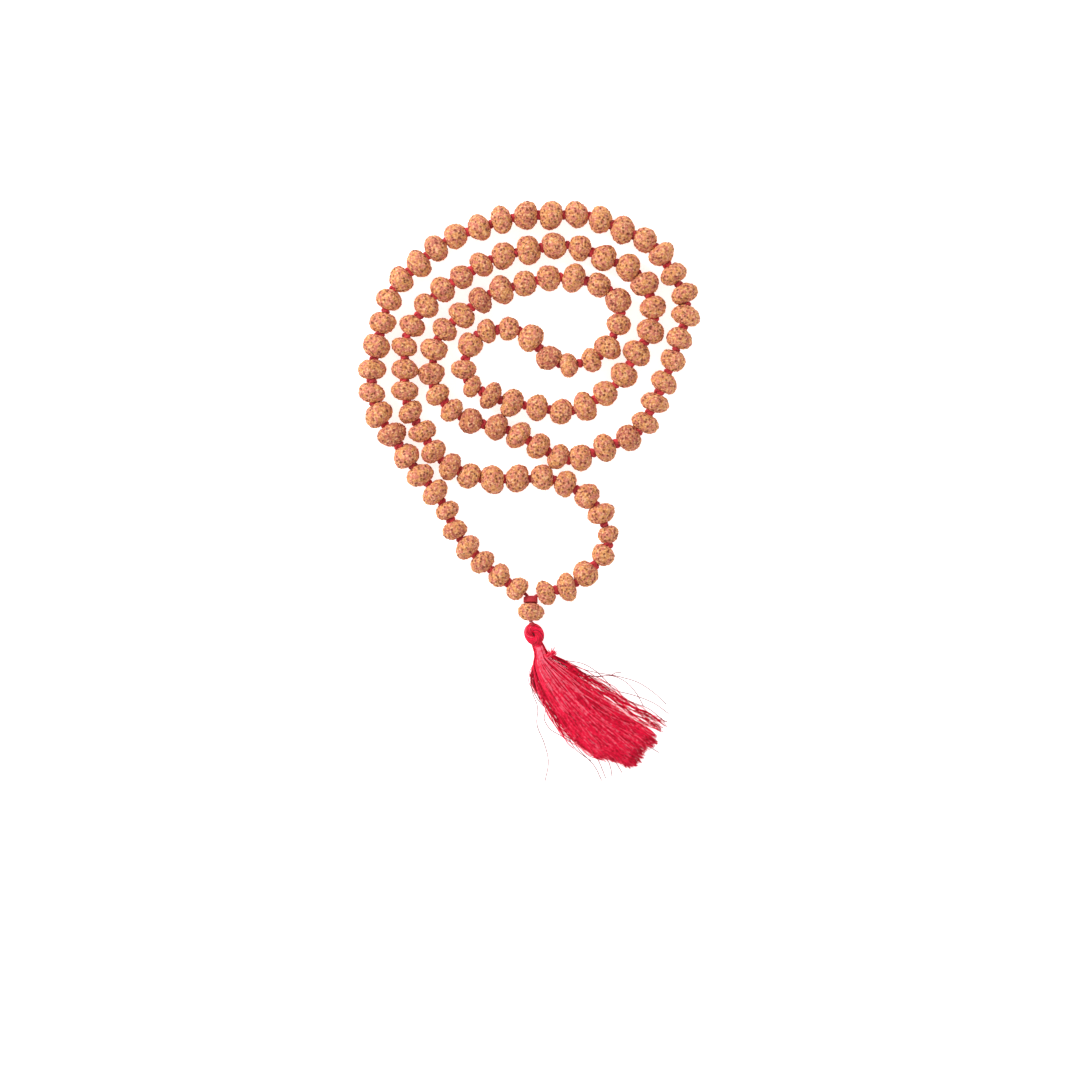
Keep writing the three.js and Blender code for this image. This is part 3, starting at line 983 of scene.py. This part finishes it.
@dataclass
class Tassel:
    """Wound head, bound neck and a fanned fringe of silk strands.

    The fringe is laid out by distance down from the end of the neck and distance to the right of its heading.
    """

    silk: Material
    head: tuple[float, float] = (1.5, -46.8)
    head_height: float = 3.2
    head_tilt: float = math.radians(-62)
    neck_end: tuple[float, float] = (4.4, -53.4)
    heading: float = math.radians(-45)
    reach: Row = (-6.0, -3.0, -1.2, 1.4, 6.0, 14.0, 24.0, 31.0, 38.0, 46.0)
    left: Row = (-1.1, -1.55, -1.75, -4.4, -7.0, -9.2, -10.6, -11.0, -10.6, -9.6)
    right: Row = (1.1, 1.55, 1.7, 2.2, 3.7, 5.4, 7.4, 9.1, 11.3, 13.2)
    deep: Row = (1.5, 1.65, 1.6, 1.9, 2.2, 2.0, 1.7, 1.5, 1.2, 0.9)
    end_share: Row = (0.0, 0.08, 0.16, 0.26, 0.5, 0.66, 0.82, 1.0)
    end_reach: Row = (33.0, 37.0, 40.6, 43.0, 43.0, 43.0, 42.8, 41.2)
    top: float = -5.6                     # where the strands start, inside the head
    strand_radius: float = 0.13
    strand_steps: int = 36
    clumps: int = 14
    gap: float = 0.83                     # the share across where the fringe thins out

    def build(self) -> None:
        """Makes the head, the fringe in two layers, the shoulder, the tuft and the strays."""
        self._head()
        # The under layer is drawn darker than the over layer: painted shade beneath the top strands.
        self._fringe(Lay.UNDER, 460, 31, (0.0, 0.62), 0.3)
        self._fringe(Lay.OVER, 640, 32, (0.5, 1.0), 0.5)
        self._crossing()
        self._shoulder()
        self._tuft()
        self._strays()

    def _laid(self, reach: Array, share: Array) -> Array:
        """Where the fringe lies on the table.

        The line down the middle runs straight from the head to the neck's end and from there along the
        heading. A point stands to its side by a share of the way from the left outline to the right one.

        Args:
            reach: Distance down from the neck's end, negative in the neck.
            share: 0 at the left outline and 1 at the right one.

        Returns:
            The points in the plane.
        """
        neck = np.array(self.neck_end)
        up_neck = unit(neck - np.array(self.head))
        down = np.array([math.cos(self.heading), math.sin(self.heading)])
        turn = ease(reach, -2.5, 2.5)[..., None]
        lower = neck + reach[..., None] * down
        upper = neck + reach[..., None] * up_neck
        middle = upper * (1 - turn) + lower * turn
        along = unit(up_neck * (1 - turn) + down * turn)
        right = np.stack([-along[..., 1], along[..., 0]], -1)
        low = curve_through(self.reach, self.left, reach)
        high = curve_through(self.reach, self.right, reach)
        return middle + (low + (high - low) * share)[..., None] * right

    def _body(self, reach: Array, across: Array, least: float) -> tuple[Array, ...]:
        """The fringe's cross-section: a half oval, lifted towards the neck.

        Args:
            reach: Distance down from the neck's end.
            across: Share of the way across.
            least: The least square of the rounding.

        Returns:
            The lift off the table, half the thickness in the middle, and the rounding from 0 to 1.
        """
        lift = np.interp(reach, (-6.0, -1.0, 6.0), (1.5, 1.1, 0.0))
        rounded = np.sqrt(np.clip(1 - (2 * np.clip(across, 0, 1) - 1) ** 2, least, 1))
        return lift, curve_through(self.reach, self.deep, reach), rounded

    def _lines(self, share: Array, level: Array, chance: Chance) -> Array:
        """The strands' middle lines.

        Each strand keeps its share across the fringe and is drawn to its clump towards the end, with two slow
        waves of its own. Its height is a share of the fringe's thickness, rounded off at both outlines.

        Args:
            share: Where each strand lies across the fringe, 0 to 1.
            level: Where it lies in the thickness, 0 on the table and 1 on top.
            chance: Random numbers.

        Returns:
            Points, (strands, steps, 3).
        """
        count = len(share)
        main = np.cumsum(chance.uniform(0.5, 1.6, self.clumps))
        clumps = np.concatenate([0.02 + 0.78 * main / main[-1], [0.885, 0.975]])
        mine = np.abs(share[:, None] + chance.normal(0, 0.010, (count, 1)) - clumps[None]).argmin(1)
        clump_end = chance.uniform(-3.0, 1.3, len(clumps))[mine]
        beyond = 1.6 * np.clip(1 - np.abs(share - clumps[mine]) / 0.03, 0, 1)
        end = np.interp(clumps[mine], self.end_share, self.end_reach) + clump_end + beyond
        end = end + chance.normal(0, 0.7, count)
        end = np.where(chance.random(count) < 0.07, end - chance.uniform(2, 12, count), end)
        t = np.linspace(0, 1, self.strand_steps)[None]
        reach = self.top + (end[:, None] - self.top) * t
        pull = ease(reach, 16.0, 42.0) * chance.uniform(0.6, 1.05, (count, 1))
        drift = chance.normal(0, 0.045, (count, 1)) * ease(reach, 0.0, 22.0) * (1 - pull)
        across = share[:, None] + (clumps[mine] - share)[:, None] * pull + drift
        size = ease(reach, 1.0, 22.0)
        for amount, low, high in ((0.0105, 1.4, 4.5), (0.008, 0.7, 1.4)):
            pace = chance.uniform(low, high, (count, 1))
            across = across + amount * pace * size * np.sin(reach / pace + phase(chance, count))
        across = across + 0.015 * size * np.sin(reach / 4.5 + phase(chance, len(clumps))[mine])
        across = across * (1 - 0.09 * ease(reach, 15.0, 40.0) * (share[:, None] < self.gap))
        lift, thick, rounded = self._body(reach, across / 0.86, 0.05)
        pace = chance.uniform(1.8, 5.0, (count, 1))
        bob = 0.34 * size * np.sin(reach / pace + phase(chance, count))
        base = TABLE_TOP + self.strand_radius + lift + 0.24 * thick * (1 - rounded)
        height = base + 2 * thick * rounded * 0.96 * level[:, None] + np.abs(bob)
        return lifted(self._laid(reach, across), height)

    def _strands(self, name: str, lines: Array, radius: Array | float, sides: int,
                 shade: Array | float) -> bpy.types.Object:
        """Makes a group of strands as one piece, its placement baked into the mesh.

        Args:
            name: The piece's name.
            lines: The strands' middle lines.
            radius: Their radius.
            sides: Corners of their section.
            shade: How light each is.

        Returns:
            The new piece.
        """
        piece = tubes(lines, radius, sides, shade=shade).piece(name, self.silk, Slot.SILK)
        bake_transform(piece)
        log.info("%s: %d strands", name, len(lines))
        return piece

    def _fringe(self, lay: Lay, count: int, seed: int, levels: tuple[float, float], tint: float) -> None:
        """One layer of the fringe, dense in the middle and thin towards the right outline.

        Args:
            lay: Which layer.
            count: Its strands.
            seed: Where its random numbers start.
            levels: The lowest and the highest share of the thickness it fills.
            tint: How light it is; the under layer's lower tint is painted shade beneath the top strands.
        """
        chance = np.random.default_rng(seed)
        loose, left = 15, 9
        share = np.concatenate([chance.uniform(0.0, 0.81, count - loose - left),
                                chance.uniform(0.84, 1.0, loose), chance.uniform(-0.16, -0.03, left)])
        lines = self._lines(share, chance.uniform(*levels, count), chance)
        shade = np.clip(chance.normal(tint, 0.28, (count, 1)), 0, 1)
        thick = self.strand_radius * chance.uniform(0.8, 1.5, (count, 1))
        shade = np.where(share[:, None] > self.gap, shade * 0.7 - 0.2, shade)
        piece = self._strands(f"fringe_{lay.value}", lines, thick, 3, shade)
        if lay is Lay.OVER:
            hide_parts("tassel_neck", "tassel_skirt")

    def _crossing(self) -> None:
        """Strands that wander over the top of the fringe, drawn pale as painted highlights."""
        chance = np.random.default_rng(33)
        count = 20
        t = np.linspace(0, 1, 40)[None]
        first = chance.uniform(0.15, 0.85, (count, 1))
        last = np.clip(first + chance.uniform(-0.28, 0.28, (count, 1)), 0.04, 0.97)
        reach = -3.0 + (chance.uniform(30, 43, (count, 1)) + 3.0) * t
        across = first + (last - first) * ease(t, 0.1, 1.0)
        pace = chance.uniform(3, 8, (count, 1))
        across = across + 0.03 * np.sin(reach / pace + phase(chance, count)) * ease(reach, 0, 14)
        lift, thick, rounded = self._body(reach, across, 0.06)
        height = lift + TABLE_TOP + 0.25 + 2 * thick * rounded + 2 * thick * (1 - rounded) * 0.12
        # Their shade of 0.95 gives the palest red: painted highlight.
        self._strands("fringe_crossing", lifted(self._laid(reach, across), height), 0.11, 4, 0.95)

    def _head(self) -> None:
        """A ring of wound strands, drawn in until its eye is only a slit.

        Every strand runs once round the ring, and once round the ring's own section on the way, over a core
        whose dark red paints the shade between the windings. A dark flat ball fills the eye as painted
        shadow.
        """
        count, steps = 34, 48
        chance = np.random.default_rng(34)
        centre = np.array([*self.head, self.head_height])
        t = np.arange(steps)[None] * TAU / steps
        start = (np.arange(count) * TAU / count + chance.uniform(-0.06, 0.06, count))[:, None]
        section = start + t
        one = np.array([math.cos(self.head_tilt), math.sin(self.head_tilt), 0])
        two = np.array([-math.sin(self.head_tilt), math.cos(self.head_tilt), 0])

        def oval(turn: Array, long: float, short: float) -> Array:
            """A point of a level oval: cos t along its length and sin t across it."""
            return np.cos(turn)[..., None] * one * long + np.sin(turn)[..., None] * two * short

        def around(turn: Array, angle: Array, thick: float) -> tuple[Array, Array]:
            """A point of a flattened ring: the long oval of its middle plus its section's own direction."""
            away = np.cos(angle)[..., None] * oval(turn, 1, 1) + np.sin(angle)[..., None] * UP
            return centre + oval(turn, 2.1, 1.62) + away * thick, away

        line, away = around(t + 0 * section, section, 1.26)
        bulge = 1 + 0.05 * np.sin(3 * section + t)
        line = centre + (line - centre) * bulge[..., None]
        # Strand tones vary at random and are set low, partly as painted shade over the head.
        shade = np.clip(chance.normal(0.3, 0.35, (count, 1)), -0.5, 1)
        wound = tubes(line, 0.19, 5, away, True, shade=shade)
        turn, angle = np.meshgrid(np.arange(40) * TAU / 40, np.arange(16) * TAU / 16, indexing="ij")
        surface, _ = around(turn, angle, 1.2)
        # The core's dark red paints the shade between the windings.
        dark = {"shade": np.full(turn.size, -0.5)}
        core = Skin(surface.reshape(-1, 3), grid_faces(40, 16, True), values=dark).outward()
        latitude = np.linspace(0.02, math.pi - 0.02, 12)
        turn, angle = np.meshgrid(np.arange(24) * TAU / 24, latitude, indexing="ij")
        ball = (np.cos(turn) * np.sin(angle))[..., None] * one * 1.5
        ball = ball + (np.sin(turn) * np.sin(angle))[..., None] * two * 1.1
        ball = ball + np.cos(angle)[..., None] * UP * 0.5
        skin = Skin.joined([wound, core, self._eye_shadow_ball(centre + ball)])
        piece = skin.piece("head_windings", self.silk, Slot.SILK)
        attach(piece, "tassel_top")
        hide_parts("tassel_head")
        log.info("head_windings: %d strands", count)

    def _eye_shadow_ball(self, grid: Array) -> Skin:
        """A near-black closed ball, painted shadow for the head's eye, from rings of points, (columns, rows,
        3), with a point at each end.
        """
        columns, rows, _ = grid.shape
        quads = grid_faces(columns, rows, True).reshape(columns, rows, 4)[:, :-1].reshape(-1, 4)
        c = np.arange(columns)
        here, after = c * rows, (c + 1) % columns * rows
        ends = columns * rows + np.zeros(columns, int)
        top = np.stack([ends, after, here], -1)
        base = np.stack([ends + 1, here + rows - 1, after + rows - 1], -1)
        points = np.concatenate([grid.reshape(-1, 3), grid[:, :1].mean(0), grid[:, -1:].mean(0)])
        # -0.9 gives the darkest red, the painted shadow in the eye.
        shade = {"shade": np.full(len(points), -0.9)}
        return Skin(points, quads, np.concatenate([top, base]), shade).outward()

    def _shoulder(self) -> None:
        """Strands that bulge out at the left below the neck and come back in to the fringe's edge."""
        chance = np.random.default_rng(36)
        count = 46
        t = np.linspace(0, 1, 26)[None] * chance.uniform(0.5, 1.0, (count, 1))
        flat = curve_through(np.linspace(0, 1, len(SHOULDER)), SHOULDER, t)
        spread = chance.normal(0, 1, (count, 1, 2)) * np.array([0.75, 0.45]) * ease(t, 0.0, 0.4)[..., None]
        wave = 0.22 * np.sin(t * chance.uniform(14, 34, (count, 1)) + phase(chance, count))
        flat = flat + spread + wave[..., None] * np.array([0.8, 0.5]) * ease(t, 0.05, 0.3)[..., None]
        height = TABLE_TOP + 0.2 + (3.2 * np.exp(-t * 4.2) + 0.3) * chance.uniform(0.5, 1.0, (count, 1))
        # Tones set high to make up for the shadow these strands lie in: painted light.
        shade = np.clip(chance.normal(0.6, 0.25, (count, 1)), 0, 1)
        self._strands("shoulder_strands", lifted(flat, height), 0.12, 3, shade)

    def _tuft(self) -> None:
        """Short cut ends that stand out at the right shoulder."""
        chance = np.random.default_rng(35)
        count = 46
        t = np.linspace(0, 1, 8)[None, :, None]
        start = np.array([4.6, -53.6, 3.0]) + chance.normal(0, 0.3, (count, 1, 3))
        tip = np.array([7.7, -52.3, 3.4]) + chance.normal(0, 1, (count, 1, 3)) * np.array([0.55, 0.45, 0.45])
        sag = np.array([0.35, -0.55, 0.3]) * (4 * t * (1 - t))
        shade = np.clip(chance.normal(0.62, 0.15, (count, 1)), 0, 1)
        skin = tubes(start + (tip - start) * t + sag, 0.14, 3, shade=shade)
        piece = skin.piece("shoulder_tuft", self.silk, Slot.SILK)
        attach(piece, "tassel_top")
        log.info("shoulder_tuft: %d strands", count)

    def _strays(self) -> None:
        """Single strands that have slipped out to both sides, each through its own few points."""
        lines = []
        for route in STRAYS:
            flat = np.array(route, float)
            far = np.concatenate([[0], np.cumsum(np.linalg.norm(np.diff(flat, axis=0), axis=1))])
            at = np.linspace(0, far[-1], 34)
            height = TABLE_TOP + 0.16 + 2.2 * np.exp(-at / 5.0) + 0.35 * np.abs(np.sin(at / 7.0))
            lines.append(lifted(curve_through(far, flat, at), height))
        self._strands("stray_strands", np.stack(lines), 0.11, 4, -0.55)


def save_sizes() -> None:
    """Updates the view layer once all the pieces are made."""
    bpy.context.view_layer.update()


def main() -> None:
    """Builds the studio, the thread, the seeds, the guru bead and the tassel."""
    logging.basicConfig(level=logging.INFO, format="%(message)s")
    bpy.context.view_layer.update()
    Studio().build()
    strand = runs()
    thread_finish = ThreadFinish().make()
    seed_finish = SeedFinish().make()
    silk = SilkFinish().make()
    Thread(strand).build(thread_finish)
    SeedStrand(strand).build(seed_finish)
    Guru(leads=(strand[0].at(0.0), strand[-1].at(1.0))).build(seed_finish, thread_finish)
    Tassel(silk).build()
    save_sizes()


if __name__ == "__main__":
    main()
